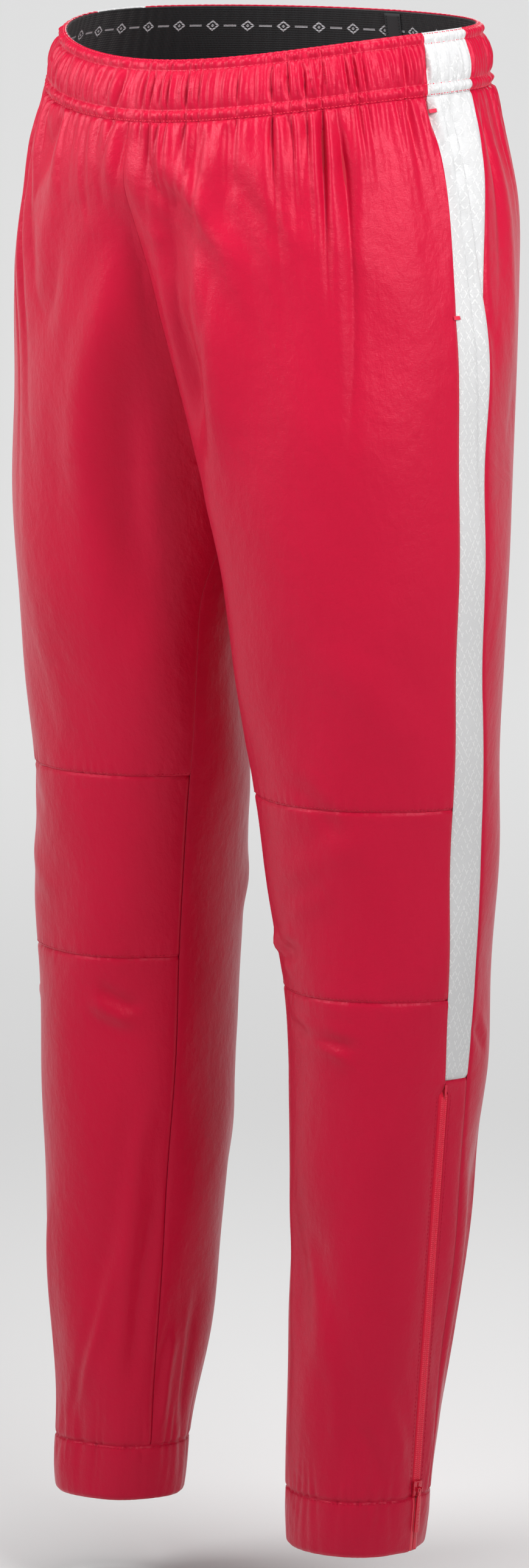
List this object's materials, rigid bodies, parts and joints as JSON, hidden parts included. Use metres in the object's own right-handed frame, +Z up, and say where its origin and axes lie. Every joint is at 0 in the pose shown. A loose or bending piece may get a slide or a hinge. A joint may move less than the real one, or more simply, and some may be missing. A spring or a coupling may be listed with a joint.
{
  "type": "athletic warm-up trousers",
  "caption": "Worn-shape warm-up trousers with a gathered elastic waistband, side stripes, side pockets, shaped knees and ankle zips over open cuffs.",
  "frame": {"origin": "centre of the waist opening, level with the top of the waistband at its back and sides, where the wearer's waist holds the garment", "axes": "+Z up the wearer's body, -Y the way the wearer faces, +X the wearer's left"},
  "size_m": [0.4134, 0.2735, 1.052],
  "materials": {
    "satin_cloth": "satin",
    "stripe_cloth": "matte",
    "waist_elastic": "matte",
    "pocket_lining": "matte",
    "thread": "satin",
    "zip_tape": "matte",
    "zip_coil": "gloss",
    "slider_metal": "gloss",
    "glossy_pull": "gloss",
    "glossy_binding": "gloss"
  },
  "bodies": {
    "trousers": {"waistband_front": "satin_cloth", "waistband_back": "satin_cloth", "waistband_insert_left": "stripe_cloth", "waistband_insert_right": "stripe_cloth", "waist_elastic": "waist_elastic", "elastic_join_cover": "waist_elastic", "thigh_front_left": "satin_cloth", "knee_panel_left": "satin_cloth", "shin_panel_left": "satin_cloth", "back_panel_left": "satin_cloth", "side_stripe_left": "stripe_cloth", "lower_side_panel_left": "satin_cloth", "cuff_band_left": "satin_cloth", "slit_binding_front_left": "glossy_binding", "slit_binding_back_left": "glossy_binding", "pocket_bag_left": "pocket_lining", "pocket_bartack_top_left": "thread", "pocket_bartack_low_left": "thread", "zip_tape_front_left": "zip_tape", "zip_tape_back_left": "zip_tape", "zip_coil_front_left": "zip_coil", "zip_coil_back_left": "zip_coil", "zip_top_stop_left": "thread", "thigh_front_right": "satin_cloth", "knee_panel_right": "satin_cloth", "shin_panel_right": "satin_cloth", "back_panel_right": "satin_cloth", "side_stripe_right": "stripe_cloth", "lower_side_panel_right": "satin_cloth", "cuff_band_right": "satin_cloth", "slit_binding_front_right": "glossy_binding", "slit_binding_back_right": "glossy_binding", "pocket_bag_right": "pocket_lining", "pocket_bartack_top_right": "thread", "pocket_bartack_low_right": "thread", "zip_tape_front_right": "zip_tape", "zip_tape_back_right": "zip_tape", "zip_coil_front_right": "zip_coil", "zip_coil_back_right": "zip_coil", "zip_top_stop_right": "thread"},
    "left_slider": {"zip_slider_left": "slider_metal"},
    "left_pull": {"zip_pull_left": "glossy_pull"},
    "right_slider": {"zip_slider_right": "slider_metal"},
    "right_pull": {"zip_pull_right": "glossy_pull"}
  },
  "joints": [
    {"name": "left_zip", "type": "slide", "parent": "trousers", "child": "left_slider", "axis": [0.0791, 0.0152, 0.9968], "range_m": [0, 0.272]},
    {"name": "left_pull_swing", "type": "hinge", "parent": "left_slider", "child": "left_pull", "pos_m": [0.17082, 0.00349, -1.00729], "axis": [0.0059, -0.9999, 0.0148], "range_deg": [0, 165]},
    {"name": "right_zip", "type": "slide", "parent": "trousers", "child": "right_slider", "axis": [-0.0791, 0.0152, 0.9968], "range_m": [0, 0.272]},
    {"name": "right_pull_swing", "type": "hinge", "parent": "right_slider", "child": "right_pull", "pos_m": [-0.17082, 0.00349, -1.00729], "axis": [0.0059, 0.9999, -0.0148], "range_deg": [0, 165]}
  ]
}
